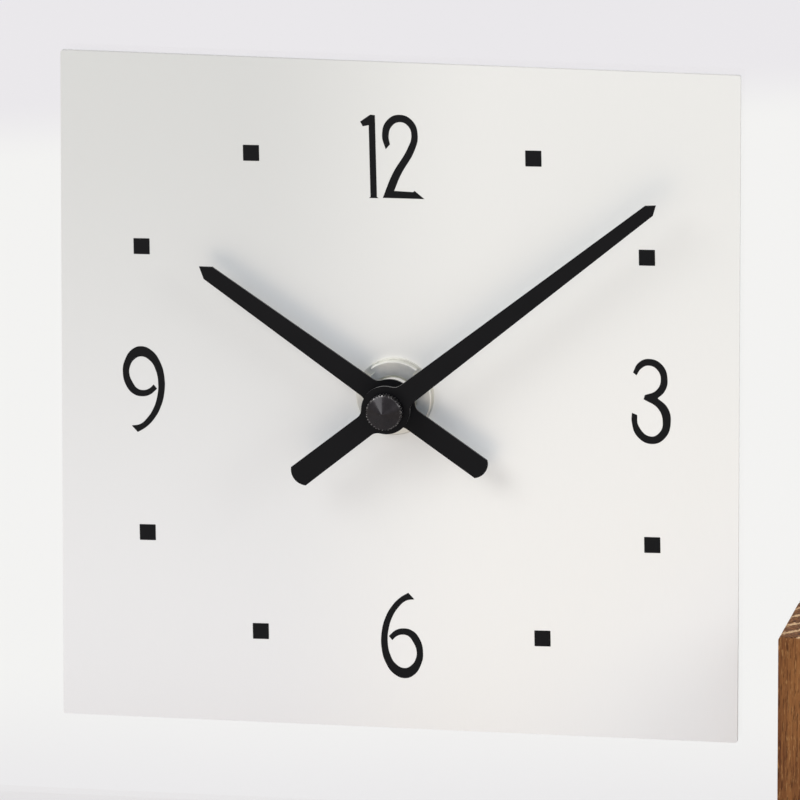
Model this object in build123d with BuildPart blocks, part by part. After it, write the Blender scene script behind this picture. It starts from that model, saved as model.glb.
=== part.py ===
from build123d import *

import os
from math import cos, hypot, radians, sin, tan

# Desk clock. An L-shaped stand of solid wood, a plank with a block standing at its right
# end, carries a clear glass panel in a groove and a slot. A square metal dial hangs in
# front of the glass on the neck of a battery movement, which sits behind the glass.
# Millimetres. X to the right, Y to the back, Z up. The origin is on the table, under the
# middle of the clock.

# Stand
stand_depth = 56.0
plank_height = 22.0
plank_overhang = 10.0  # plank past the free edge of the glass
block_width = 40.0
block_rise = 34.4  # top of the block above the lower edge of the dial
wood_round = 0.8
groove_depth = 7.0  # glass groove in the plank
slot_depth = 10.0  # glass slot in the block
dowel_diameter = 8.0
dowel_length = 36.0
dowel_spacing = 26.0
dowel_end_room = 1.0
foot_thickness = 2.0
foot_length = 30.0
foot_width = 12.0
foot_inset = 6.0
foot_round = 3.0

# Glass, its two channels and the dial
glass_thickness = 4.0
glass_margin = 22.0  # glass past the dial, on the left and above
glass_setback = 32.0  # front of the stand to front of the glass
glass_corner = 3.0
glass_bevel = 0.4
glass_hole = 11.2
channel_wall = 0.7
channel_play = 0.05
channel_top_inset = 0.6
dial_side = 160.0
dial_thickness = 1.0
dial_corner = 0.6
dial_hole = 10.6
dial_hang_right = 0.95  # middle of the dial off the hands' axis
dial_hang_low = 0.3
block_gap = 13.9  # right edge of the dial to the block
plank_gap = 29.0  # lower edge of the dial to the plank
dial_pad_thickness = 0.5
dial_pad_diameter = 12.0
dial_pad_distance = 110.0

# Neck of the movement, and what clamps the glass and the dial on it
neck_diameter = 10.0
neck_bore = 6.4
neck_reach = 2.8  # neck past the front of the dial
neck_flange_diameter = 16.0
neck_flange_thickness = 1.2
neck_chamfer = 0.5
dial_washer_diameter = 18.4
dial_washer_thickness = 0.5
neck_clearance = 0.2  # washer and rubber on the neck
nut_diameter = 17.6
nut_thickness = 2.0
nut_chamfer = 0.2
nut_mouth_chamfer = 0.6
nut_slots = 4
nut_slot_angle = 45.0
nut_slot_width = 2.2
nut_slot_depth = 1.4
rubber_diameter = 34.0
rubber_thickness = 1.5

# Hands, measured from the axis; heights are above the front of the dial
hand_thickness = 0.5
hand_point_angle = 70.0
hand_tail_bulge = 1.2
hub_fillet = 2.5
hour_angle = 304.6  # clockwise from twelve, ten past ten
hour_length = 54.7
hour_tail = 27.3
hour_root_width = 5.2
hour_shoulder_width = 3.6
hour_tail_width = 5.3
hour_hub_diameter = 11.8
hour_height = 7.3
hour_bush_diameter = 8.6
hour_bush_length = 3.6
minute_angle = 50.9
minute_length = 81.6
minute_tail = 27.7
minute_root_width = 5.2
minute_shoulder_width = 2.95
minute_tail_width = 5.5
minute_hub_diameter = 11.5
minute_height = 13.5
minute_bush_diameter = 6.0
minute_bush_length = 4.4
cap_diameter = 8.5
cap_flange_diameter = 7.4
cap_flange_height = 0.9
cap_rim_height = 1.6
cap_cone_height = 2.3
cap_tip_diameter = 0.5
cap_knurls = 36
cap_knurl_width = 0.42
cap_thread_depth = 2.4

# Movement case
case_depth = 16.5
case_wall = 1.3
case_corner = 3.0
case_play = 0.1  # neck in the case
cover_thickness = 1.6
cover_round = 0.5
cover_lip_depth = 1.2
cover_lip_width = 1.0
cover_play = 0.15
bay_gap = 0.25  # wheels to the wall of the battery bay

# Screws of the cover and of the rear bridge, and the pillars that take them
screw_diameter = 1.6
screw_play = 0.1
screw_head_diameter = 3.0
screw_head_height = 0.9
screw_length = 6.0
screw_slot_width = 0.5
screw_slot_depth = 0.4
cover_pillar_diameter = 4.8
cover_pillar_gap = 0.25  # pillars to the lip of the cover
bridge_pillar_diameter = 5.0
bridge_pillar_neck = 3.6
left_pillar_gap = 2.0  # each pillar to the wheel that it stands beside
left_pillar_angle = -153.4
top_pillar_gap = 0.5
top_pillar_angle = 63.2
right_pillar_gap = 0.1
right_pillar_angle = -30.7
bridge_margin = 3.0  # plates past the axes of their pillars
bridge_wall_gap = 0.5  # plates to the wall of the case
bridge_thickness = 1.0
middle_plate_thickness = 0.8

# Battery and its contacts
cell_side_gap = 1.0  # cell to the bay above and below it
leaf_room = 2.4  # negative end of the cell to the wall of the case
cell_button_diameter = 5.5
cell_button_height = 1.3
cell_edge = 0.6
cell_play = 0.1
cell_floor_gap = 0.3
contact_thickness = 0.4
contact_width = 9.0
contact_height = 12.0
leaf_rise = 0.8  # free end of the leaf spring off its root

# Wheels. Motion work 12:1; rotor to seconds wheel 30:1; seconds to centre wheel 60:1.
running_gap = 0.05  # radial gap of an arbor in its hole
end_play = 0.1
layer_gap = 0.4  # between neighbouring wheels along the axis
pinion_lead = 0.1  # pinion past the wheel that it meshes with
wheel_thickness = 0.8
wheel_windows = 6
wheel_window_diameter = 3.0
wheel_window_ring = 4.9
arbor_diameter = 1.4
pivot_diameter = 0.8
pivot_length = 0.7
tip_share = 0.20  # tooth width as a share of the pitch
root_share = 0.60
addendum_share = 0.85  # of the module
dedendum_share = 1.25
motion_module = 0.40
cannon_teeth = 12
minute_wheel_teeth = 36
minute_pinion_teeth = 10
hour_wheel_teeth = 40
setting_teeth = 12
train_module = 0.36
centre_wheel_teeth = 48
third_pinion_teeth = 6
third_wheel_teeth = 45
seconds_pinion_teeth = 6
seconds_wheel_teeth = 48
step_pinion_teeth = 8
motor_module = 0.30
step_wheel_teeth = 40
rotor_teeth = 8
minute_wheel_direction = 0.0  # of each axis from the one before it, anticlockwise from right
setting_direction = -20.0
third_direction = 135.0
step_direction = -10.0
rotor_direction = 60.0
hour_pipe_diameter = 5.8
hour_pipe_bore = 3.6
hour_pipe_stand = 0.5  # pipe past the front of the hour hand
minute_arbor_diameter = 3.4
minute_thread_diameter = 2.6
clutch_seat_diameter = 2.4
clutch_ring_diameter = 4.0
clutch_ring_thickness = 0.15
clutch_gap = 0.03
seconds_bore_depth = 1.5
stud_diameter = 1.4
stud_boss_diameter = 3.0
setting_arbor_diameter = 2.4
setting_boss_diameter = 5.0
knob_diameter = 12.0
knob_thickness = 1.6
knob_gap = 0.3
knob_flutes = 18
knob_flute_diameter = 1.0
knob_dish_diameter = 8.0
knob_dish_depth = 0.5

# Motor and circuit
magnet_diameter = 6.0
magnet_thickness = 1.7
stator_thickness = 0.6
stator_gap = 0.3  # behind the centre wheel
stator_air = 0.4
stator_ring = 1.3
stator_leg_width = 3.2
post_diameter = 3.0
pin_diameter = 1.2
pin_stand = 0.3
coil_core_width = 2.0
coil_tube_diameter = 4.0
coil_length = 14.0
coil_diameter = 6.2
coil_flange_diameter = 7.0
coil_flange_thickness = 0.8
coil_leg_gap = 0.3
stator_wall_gap = 2.7
stator_pillar_gap = 0.4
board_width = 14.0
board_height = 17.0
board_thickness = 0.8
board_wall_gap = 1.2  # board to the left wall of the case
board_pillar_gap = 0.5
board_post_inset = 1.8
crystal_diameter = 2.0
crystal_length = 6.0
crystal_rise = 5.0
chip_diameter = 5.0
chip_height = 0.9
chip_drop = 3.0
chip_round_share = 0.8

overrun = 1.0  # how far a cut runs past the face that it opens
tiny = 0.001

# Places that follow from the sizes
overall_width = plank_overhang + glass_margin + dial_side + block_gap + block_width
stand_front = -stand_depth / 2
stand_left = -overall_width / 2
block_left = overall_width / 2 - block_width
plank_length = block_left - stand_left
plank_top = foot_thickness + plank_height
dial_left = block_left - block_gap - dial_side
dial_bottom = plank_top + plank_gap
axis_x = dial_left + dial_side / 2 - dial_hang_right
axis_z = dial_bottom + dial_side / 2 + dial_hang_low
block_top = dial_bottom + block_rise
glass_front = stand_front + glass_setback
glass_back = glass_front + glass_thickness
glass_middle = glass_front + glass_thickness / 2
slot_width = glass_thickness + 2 * (channel_wall + channel_play)
glass_left = dial_left - glass_margin
glass_right = block_left + slot_depth - channel_wall - channel_play
glass_bottom = plank_top - groove_depth + channel_wall
glass_top = dial_bottom + dial_side + glass_margin
dial_front = glass_front - dial_pad_thickness - dial_thickness
case_front = glass_back + rubber_thickness
case_back = case_front + case_depth
cover_front = case_back - cover_thickness
floor_back = case_front + case_wall
neck_front = dial_front - neck_reach
nut_back = dial_front - dial_washer_thickness
nut_front = nut_back - nut_thickness
hour_hand_back = dial_front - hour_height
minute_hand_back = dial_front - minute_height
cap_back = minute_hand_back - hand_thickness
cap_front = cap_back - cap_flange_height - cap_rim_height - cap_cone_height
point_share = 0.5 / tan(radians(hand_point_angle / 2))  # of the shoulder's width
hands_axis = Axis((axis_x, 0, axis_z), (0, 1, 0))
axial = Plane(origin=(axis_x, 0, axis_z))  # holds the hands' axis as its y


def facing(y, x=0.0, z=0.0, clockwise=0.0):
    """Plane square to the hands' axis, at depth y; x and z are counted from that axis.

    Its own x is to the right and its own y is up, before it is turned clockwise by that
    many degrees. Extruding goes towards the front.
    """
    turn = radians(clockwise)
    return Plane(
        origin=(axis_x + x, y, axis_z + z), x_dir=(cos(turn), 0, -sin(turn)), z_dir=(0, -1, 0)
    )


def write(piece, label):
    """Labels a finished piece and writes it as one file."""
    piece.label = label
    export_step(piece, f"parts/{label}.step")


def tip_radius(teeth, module):
    """Outer radius of a toothed wheel."""
    return module * (teeth / 2 + addendum_share)


def toothed(teeth, module, phase):
    """Outline of a toothed wheel about its own middle, one tooth at the angle phase."""
    pitch = 360 / teeth
    root = module * (teeth / 2 - dedendum_share)
    tip = tip_radius(teeth, module)
    corners = (
        (root, -root_share / 2),
        (tip, -tip_share / 2),
        (tip, tip_share / 2),
        (root, root_share / 2),
    )
    points = []
    for tooth in range(teeth):
        for radius, share in corners:
            angle = radians(phase + (tooth + share) * pitch)
            points.append((radius * cos(angle), radius * sin(angle)))
    return points


def mesh_phase(phase, teeth, direction, other_teeth):
    """Phase of the wheel that meshes, in that direction, with a wheel of the given phase."""
    offset = ((direction - phase) * teeth / 360) % 1
    return direction + 180 + (offset - 0.5) * 360 / other_teeth


def step_to(start, distance, direction):
    """Place at that distance and direction from the start."""
    return (
        start[0] + distance * cos(radians(direction)),
        start[1] + distance * sin(radians(direction)),
    )


# Axes, counted from the hands' axis
motion_distance = motion_module * (cannon_teeth + minute_wheel_teeth) / 2
hour_module = 2 * motion_distance / (minute_pinion_teeth + hour_wheel_teeth)
setting_distance = motion_module * (minute_wheel_teeth + setting_teeth) / 2
third_distance = train_module * (centre_wheel_teeth + third_pinion_teeth) / 2
third_module = 2 * third_distance / (third_wheel_teeth + seconds_pinion_teeth)
step_distance = train_module * (seconds_wheel_teeth + step_pinion_teeth) / 2
rotor_distance = motor_module * (step_wheel_teeth + rotor_teeth) / 2
centre_axis = (0.0, 0.0)
minute_wheel_axis = step_to(centre_axis, motion_distance, minute_wheel_direction)
setting_axis = step_to(minute_wheel_axis, setting_distance, setting_direction)
third_axis = step_to(centre_axis, third_distance, third_direction)
step_axis = step_to(centre_axis, step_distance, step_direction)
rotor_axis = step_to(step_axis, rotor_distance, rotor_direction)

# Phases, so that the teeth are in mesh
cannon_phase = 0.0
minute_wheel_phase = mesh_phase(
    cannon_phase, cannon_teeth, minute_wheel_direction, minute_wheel_teeth
)
minute_pinion_phase = 0.0
hour_wheel_phase = mesh_phase(
    minute_pinion_phase, minute_pinion_teeth, minute_wheel_direction + 180, hour_wheel_teeth
)
setting_phase = mesh_phase(minute_wheel_phase, minute_wheel_teeth, setting_direction, setting_teeth)
centre_wheel_phase = 0.0
third_pinion_phase = mesh_phase(
    centre_wheel_phase, centre_wheel_teeth, third_direction, third_pinion_teeth
)
third_wheel_phase = 0.0
seconds_pinion_phase = mesh_phase(
    third_wheel_phase, third_wheel_teeth, third_direction + 180, seconds_pinion_teeth
)
seconds_wheel_phase = 0.0
step_pinion_phase = mesh_phase(
    seconds_wheel_phase, seconds_wheel_teeth, step_direction, step_pinion_teeth
)
step_wheel_phase = 0.0
rotor_phase = mesh_phase(step_wheel_phase, step_wheel_teeth, rotor_direction, rotor_teeth)

# Fronts of the layers inside the case
layer_pitch = wheel_thickness + layer_gap
hour_wheel_front = floor_back + neck_flange_thickness + layer_gap
minute_wheel_front = hour_wheel_front + layer_pitch
middle_plate_front = minute_wheel_front + layer_pitch
middle_plate_back = middle_plate_front + middle_plate_thickness
centre_wheel_front = middle_plate_back + layer_gap
third_wheel_front = centre_wheel_front + layer_pitch
seconds_wheel_front = third_wheel_front + layer_pitch
step_wheel_front = seconds_wheel_front + layer_pitch
bridge_front = step_wheel_front + layer_pitch
bridge_back = bridge_front + bridge_thickness
stator_front = centre_wheel_front + wheel_thickness + stator_gap
stator_back = stator_front + stator_thickness
core_back = stator_back + stator_thickness
board_front = step_wheel_front
board_back = board_front + board_thickness
clutch_shoulder = middle_plate_back + end_play
clutch_end = centre_wheel_front + wheel_thickness + clutch_gap + clutch_ring_thickness

# Places inside the case, counted from the hands' axis. The pillars of the bridge stand beside
# the wheels, and the case is as small as they allow. The cell fills its bay.
centre_wheel_reach = tip_radius(centre_wheel_teeth, train_module)
bridge_pillars = (
    step_to(
        centre_axis,
        centre_wheel_reach + left_pillar_gap + bridge_pillar_diameter / 2,
        left_pillar_angle,
    ),
    step_to(
        third_axis,
        tip_radius(third_wheel_teeth, third_module) + top_pillar_gap + bridge_pillar_diameter / 2,
        top_pillar_angle,
    ),
    step_to(
        setting_axis,
        tip_radius(setting_teeth, motion_module) + right_pillar_gap + bridge_pillar_diameter / 2,
        right_pillar_angle,
    ),
)
inner_half = bridge_pillars[-1][0] + bridge_margin + bridge_wall_gap
case_side = 2 * (inner_half + case_wall)
bay_wall_top = -centre_wheel_reach - bay_gap
bay_top = bay_wall_top - case_wall
bay_height = inner_half + bay_top
bay_middle = bay_top - bay_height / 2
cover_pillar_inset = cover_play + cover_lip_width + cover_pillar_gap + cover_pillar_diameter / 2
cover_pillar_place = inner_half - cover_pillar_inset
cover_pillars = (
    (cover_pillar_place, cover_pillar_place),
    (-cover_pillar_place, cover_pillar_place),
    (-cover_pillar_place, bay_wall_top + cover_pillar_inset),
)
cover_pillar_low_side = cover_pillar_place - cover_pillar_diameter / 2
leg_offset = coil_length / 2 + coil_leg_gap + stator_leg_width / 2
coil_x = inner_half - stator_wall_gap - stator_leg_width / 2 - leg_offset
coil_height = cover_pillar_low_side - stator_pillar_gap - stator_leg_width / 2
stator_pins = (
    (coil_x - leg_offset, coil_height),
    (coil_x + leg_offset, coil_height),
)
board_x = board_wall_gap + board_width / 2 - inner_half
board_rise = cover_pillar_low_side - board_pillar_gap - board_height / 2
cell_diameter = bay_height - 2 * cell_side_gap
cell_length = 2 * inner_half - contact_thickness - cell_play - cell_button_height - leaf_room
cell_left = axis_x - inner_half + leaf_room
cell_middle = floor_back + cell_floor_gap + cell_diameter / 2
leaf_back = axis_x - inner_half + contact_thickness / 2
cell_plane = Plane(
    origin=(cell_left, cell_middle, axis_z + bay_middle), x_dir=(0, 1, 0), z_dir=(1, 0, 0)
)
board_pin_x = board_width / 2 - board_post_inset
board_pin_z = board_height / 2 - board_post_inset
board_pins = (
    (board_x - board_pin_x, board_rise - board_pin_z),
    (board_x - board_pin_x, board_rise + board_pin_z),
    (board_x + board_pin_x, board_rise + board_pin_z),
)

os.makedirs("parts", exist_ok=True)

# Base plank: grain along X, with a stopped groove for the glass and two dowel holes in its
# right end.
with BuildPart() as base_plank:
    with BuildSketch(Plane.XY.offset(foot_thickness)):
        with Locations((stand_left + plank_length / 2, 0)):
            Rectangle(plank_length, stand_depth)
    extrude(amount=plank_height)
    fillet(
        base_plank.edges().group_by(Axis.X)[0]
        + base_plank.edges().filter_by(Axis.X).group_by(Axis.Z)[-1],
        radius=wood_round,
    )
    with BuildSketch(Plane.XY.offset(plank_top - groove_depth)):
        with Locations(((glass_left + block_left) / 2, glass_middle)):
            Rectangle(block_left - glass_left, slot_width)
    extrude(amount=groove_depth + overrun, mode=Mode.SUBTRACT)
    with BuildSketch(Plane.YZ.offset(block_left)):
        with Locations((0, foot_thickness + (plank_height - groove_depth) / 2)):
            with GridLocations(dowel_spacing, 0, 2, 1):
                Circle(dowel_diameter / 2)
    extrude(amount=-dowel_length / 2 - dowel_end_room, mode=Mode.SUBTRACT)
write(base_plank.part, "base_plank")

# Upright block: grain upwards, end grain on top. The slot for the glass is cut in its left
# side and runs out at the top.
with BuildPart() as upright_block:
    with BuildSketch(Plane.XY.offset(foot_thickness)):
        with Locations((block_left + block_width / 2, 0)):
            Rectangle(block_width, stand_depth)
    extrude(amount=block_top - foot_thickness)
    fillet(
        upright_block.edges().group_by(Axis.Z)[-1]
        + upright_block.edges().filter_by(Axis.Z).group_by(Axis.X)[-1],
        radius=wood_round,
    )
    with BuildSketch(Plane.XY.offset(plank_top - groove_depth)):
        with Locations((block_left, glass_middle)):
            Rectangle(slot_depth, slot_width, align=(Align.MIN, Align.CENTER))
    extrude(amount=block_top, mode=Mode.SUBTRACT)
    with BuildSketch(Plane.YZ.offset(block_left)):
        with Locations((0, foot_thickness + (plank_height - groove_depth) / 2)):
            with GridLocations(dowel_spacing, 0, 2, 1):
                Circle(dowel_diameter / 2)
    extrude(amount=dowel_length / 2 + dowel_end_room, mode=Mode.SUBTRACT)
write(upright_block.part, "upright_block")

# Two wooden dowels across the joint between the plank and the block.
with BuildPart() as joint_dowels:
    with BuildSketch(Plane.YZ.offset(block_left - dowel_length / 2)):
        with Locations((0, foot_thickness + (plank_height - groove_depth) / 2)):
            with GridLocations(dowel_spacing, 0, 2, 1):
                Circle(dowel_diameter / 2)
    extrude(amount=dowel_length)
    chamfer(joint_dowels.edges().filter_by(GeomType.CIRCLE), length=wood_round)
write(joint_dowels.part, "joint_dowels")

# Four felt feet under the corners of the stand.
with BuildPart() as felt_feet:
    with BuildSketch(Plane.XY):
        with GridLocations(
            overall_width - foot_length - 2 * foot_inset,
            stand_depth - foot_width - 2 * foot_inset,
            2,
            2,
        ):
            RectangleRounded(foot_length, foot_width, foot_round)
    extrude(amount=foot_thickness)
write(felt_feet.part, "felt_feet")

# Clear channel that lines the groove; the glass stands on its web.
with BuildPart() as base_channel:
    with BuildSketch(Plane.XY.offset(plank_top - groove_depth)):
        with Locations((glass_left, glass_middle)):
            Rectangle(
                block_left + slot_depth - glass_left,
                slot_width,
                align=(Align.MIN, Align.CENTER),
            )
    extrude(amount=groove_depth)
    with BuildSketch(Plane.XY.offset(glass_bottom)):
        with Locations((glass_left, glass_middle)):
            Rectangle(
                block_left + slot_depth - glass_left,
                slot_width - 2 * channel_wall,
                align=(Align.MIN, Align.CENTER),
            )
    extrude(amount=groove_depth, mode=Mode.SUBTRACT)
write(base_channel.part, "base_channel")

# Clear channel that lines the slot in the block.
with BuildPart() as side_channel:
    with BuildSketch(Plane.XY.offset(plank_top)):
        with Locations((block_left, glass_middle)):
            Rectangle(slot_depth, slot_width, align=(Align.MIN, Align.CENTER))
            Rectangle(
                slot_depth - channel_wall,
                slot_width - 2 * channel_wall,
                align=(Align.MIN, Align.CENTER),
                mode=Mode.SUBTRACT,
            )
    extrude(amount=block_top - channel_top_inset - plank_top)
write(side_channel.part, "side_channel")

# Glass panel with polished, bevelled edges and a hole for the neck of the movement.
with BuildPart() as glass_panel:
    with BuildSketch(facing(glass_back)) as glass_outline:
        with Locations(((glass_left + glass_right) / 2 - axis_x, (glass_bottom + glass_top) / 2 - axis_z)):
            Rectangle(glass_right - glass_left, glass_top - glass_bottom)
        fillet(glass_outline.vertices().group_by(Axis.Z)[-1], radius=glass_corner)
    extrude(amount=glass_thickness)
    chamfer(
        glass_panel.faces().filter_by(Axis.Y).edges(),
        length=glass_bevel,
    )
    with BuildSketch(facing(glass_back + overrun)):
        Circle(glass_hole / 2)
    extrude(amount=glass_thickness + 2 * overrun, mode=Mode.SUBTRACT)
write(glass_panel.part, "glass_panel")

# Square metal dial, cut from sheet.
with BuildPart() as dial_plate:
    with BuildSketch(facing(dial_front + dial_thickness)):
        with Locations((dial_hang_right, -dial_hang_low)):
            RectangleRounded(dial_side, dial_side, dial_corner)
        Circle(dial_hole / 2, mode=Mode.SUBTRACT)
    extrude(amount=dial_thickness)
write(dial_plate.part, "dial_plate")

# Four round adhesive pads that keep the dial off the glass.
with BuildPart() as dial_pads:
    with BuildSketch(facing(glass_front)):
        with Locations((dial_hang_right, -dial_hang_low)):
            with GridLocations(dial_pad_distance, dial_pad_distance, 2, 2):
                Circle(dial_pad_diameter / 2)
    extrude(amount=dial_pad_thickness)
write(dial_pads.part, "dial_pads")

# Threaded brass neck. Its flange sits inside the case, and it carries the whole clock work
# on the glass. The thread itself is too fine to model.
with BuildPart() as threaded_neck:
    with BuildSketch(facing(floor_back + neck_flange_thickness)):
        Circle(neck_flange_diameter / 2)
    extrude(amount=neck_flange_thickness)
    with BuildSketch(facing(floor_back)):
        Circle(neck_diameter / 2)
    extrude(amount=floor_back - neck_front)
    chamfer(
        threaded_neck.edges().filter_by(GeomType.CIRCLE).group_by(Axis.Y)[0],
        length=neck_chamfer,
    )
    with BuildSketch(facing(floor_back + neck_flange_thickness)):
        Circle(neck_bore / 2)
    extrude(amount=floor_back + neck_flange_thickness - neck_front, mode=Mode.SUBTRACT)
write(threaded_neck.part, "threaded_neck")

# Thin washer between the dial and the nut.
with BuildPart() as dial_washer:
    with BuildSketch(facing(dial_front)):
        Circle(dial_washer_diameter / 2)
        Circle(neck_diameter / 2 + neck_clearance, mode=Mode.SUBTRACT)
    extrude(amount=dial_washer_thickness)
write(dial_washer.part, "dial_washer")

# Round nut on the neck, with slots in its edge for a peg wrench.
with BuildPart() as dial_nut:
    with BuildSketch(facing(nut_back)):
        Circle(nut_diameter / 2)
        Circle(neck_diameter / 2, mode=Mode.SUBTRACT)
    extrude(amount=nut_thickness)
    chamfer(
        dial_nut.edges().filter_by(GeomType.CIRCLE).group_by(SortBy.RADIUS)[-1],
        length=nut_chamfer,
    )
    chamfer(
        dial_nut.edges().filter_by(GeomType.CIRCLE).group_by(SortBy.RADIUS)[0],
        length=nut_mouth_chamfer,
    )
    with BuildSketch(facing(nut_back)):
        with PolarLocations(nut_diameter / 2, nut_slots, start_angle=nut_slot_angle):
            Rectangle(2 * nut_slot_depth, nut_slot_width)
    extrude(amount=nut_thickness, mode=Mode.SUBTRACT)
write(dial_nut.part, "dial_nut")

# Rubber washer between the glass and the case.
with BuildPart() as rubber_washer:
    with BuildSketch(facing(case_front)):
        Circle(rubber_diameter / 2)
        Circle(neck_diameter / 2 + neck_clearance, mode=Mode.SUBTRACT)
    extrude(amount=rubber_thickness)
write(rubber_washer.part, "rubber_washer")

# Hour hand: stamped sheet with a tapered blade, a short point, a rounded tail and a round
# hub, riveted on a bush that is pressed on the hour pipe.
with BuildPart() as hour_hand:
    with BuildSketch(facing(hour_hand_back, clockwise=hour_angle)) as hour_outline:
        with BuildLine():
            Polyline(
                (-hour_tail_width / 2, hand_tail_bulge - hour_tail),
                (-hour_root_width / 2, 0),
                (-hour_shoulder_width / 2, hour_length - hour_shoulder_width * point_share),
                (0, hour_length),
                (hour_shoulder_width / 2, hour_length - hour_shoulder_width * point_share),
                (hour_root_width / 2, 0),
                (hour_tail_width / 2, hand_tail_bulge - hour_tail),
            )
            ThreePointArc(
                (hour_tail_width / 2, hand_tail_bulge - hour_tail),
                (0, -hour_tail),
                (-hour_tail_width / 2, hand_tail_bulge - hour_tail),
            )
        make_face()
        Circle(hour_hub_diameter / 2)
        fillet(
            hour_outline.vertices().filter_by(
                lambda corner: abs(hypot(corner.X, corner.Y) - hour_hub_diameter / 2) < tiny
            ),
            radius=hub_fillet,
        )
        Circle(hour_pipe_diameter / 2, mode=Mode.SUBTRACT)
    extrude(amount=hand_thickness)
    with BuildSketch(facing(hour_hand_back + hour_bush_length)):
        Circle(hour_bush_diameter / 2)
        Circle(hour_pipe_diameter / 2, mode=Mode.SUBTRACT)
    extrude(amount=hour_bush_length)
write(hour_hand.part, "hour_hand")

# Minute hand, made like the hour hand. Its bush is pressed on the minute arbor, and its
# blade rests on the arbor's shoulder.
with BuildPart() as minute_hand:
    with BuildSketch(facing(minute_hand_back, clockwise=minute_angle)) as minute_outline:
        with BuildLine():
            Polyline(
                (-minute_tail_width / 2, hand_tail_bulge - minute_tail),
                (-minute_root_width / 2, 0),
                (-minute_shoulder_width / 2, minute_length - minute_shoulder_width * point_share),
                (0, minute_length),
                (minute_shoulder_width / 2, minute_length - minute_shoulder_width * point_share),
                (minute_root_width / 2, 0),
                (minute_tail_width / 2, hand_tail_bulge - minute_tail),
            )
            ThreePointArc(
                (minute_tail_width / 2, hand_tail_bulge - minute_tail),
                (0, -minute_tail),
                (-minute_tail_width / 2, hand_tail_bulge - minute_tail),
            )
        make_face()
        Circle(minute_hub_diameter / 2)
        fillet(
            minute_outline.vertices().filter_by(
                lambda corner: abs(hypot(corner.X, corner.Y) - minute_hub_diameter / 2) < tiny
            ),
            radius=hub_fillet,
        )
        Circle(minute_thread_diameter / 2, mode=Mode.SUBTRACT)
    extrude(amount=hand_thickness)
    with BuildSketch(facing(minute_hand_back + minute_bush_length)):
        Circle(minute_bush_diameter / 2)
        Circle(minute_arbor_diameter / 2, mode=Mode.SUBTRACT)
    extrude(amount=minute_bush_length)
write(minute_hand.part, "minute_hand")

# Cap nut over the hands: turned flange, knurled rim and a low cone, threaded from behind.
with BuildPart() as cap_nut:
    with BuildSketch(axial):
        with BuildLine():
            Polyline(
                (minute_thread_diameter / 2, cap_back),
                (cap_flange_diameter / 2, cap_back),
                (cap_flange_diameter / 2, cap_back - cap_flange_height),
                (cap_diameter / 2, cap_back - cap_flange_height),
                (cap_diameter / 2, cap_back - cap_flange_height - cap_rim_height),
                (cap_tip_diameter / 2, cap_front),
                (0, cap_front),
                (0, cap_back - cap_thread_depth),
                (minute_thread_diameter / 2, cap_back - cap_thread_depth),
                close=True,
            )
        make_face()
    revolve(axis=hands_axis)
    with BuildSketch(facing(cap_back)):
        with PolarLocations(cap_diameter / 2, cap_knurls):
            Rectangle(cap_knurl_width, cap_knurl_width, rotation=45)
    extrude(amount=cap_flange_height + cap_rim_height + cap_cone_height, mode=Mode.SUBTRACT)
write(cap_nut.part, "cap_nut")

# Minute arbor: threaded end for the cap nut, shaft through the hour pipe, cannon pinion,
# and the seat on which the centre wheel slips when the hands are set.
with BuildPart() as minute_arbor:
    with BuildSketch(facing(clutch_shoulder)):
        Circle(minute_arbor_diameter / 2)
    extrude(amount=clutch_shoulder - minute_hand_back)
    with BuildSketch(facing(minute_hand_back)):
        Circle(minute_thread_diameter / 2)
    extrude(amount=hand_thickness + cap_thread_depth - end_play)
    with BuildSketch(facing(minute_wheel_front + wheel_thickness + pinion_lead)):
        Polygon(*toothed(cannon_teeth, motion_module, cannon_phase), align=None)
    extrude(amount=wheel_thickness + 2 * pinion_lead)
    with BuildSketch(facing(clutch_end)):
        Circle(clutch_seat_diameter / 2)
    extrude(amount=clutch_end - clutch_shoulder)
    with BuildSketch(facing(clutch_end)):
        Circle(pivot_diameter / 2 + running_gap)
    extrude(amount=seconds_bore_depth, mode=Mode.SUBTRACT)
write(minute_arbor.part, "minute_arbor")

# Ring pressed on the end of the minute arbor; it holds the centre wheel on its seat.
with BuildPart() as clutch_ring:
    with BuildSketch(facing(clutch_end)):
        Circle(clutch_ring_diameter / 2)
        Circle(clutch_seat_diameter / 2, mode=Mode.SUBTRACT)
    extrude(amount=clutch_ring_thickness)
write(clutch_ring.part, "clutch_ring")

# Hour wheel with the pipe that carries the hour hand.
with BuildPart() as hour_wheel:
    with BuildSketch(facing(hour_wheel_front + wheel_thickness)):
        Polygon(*toothed(hour_wheel_teeth, hour_module, hour_wheel_phase), align=None)
    extrude(amount=wheel_thickness)
    with BuildSketch(facing(hour_wheel_front)):
        Circle(hour_pipe_diameter / 2)
    extrude(amount=hour_wheel_front - hour_hand_back + hand_thickness + hour_pipe_stand)
    with BuildSketch(facing(hour_wheel_front + wheel_thickness)):
        Circle(hour_pipe_bore / 2)
    extrude(
        amount=hour_wheel_front + wheel_thickness - hour_hand_back + hand_thickness + hour_pipe_stand,
        mode=Mode.SUBTRACT,
    )
write(hour_wheel.part, "hour_wheel")

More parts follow.
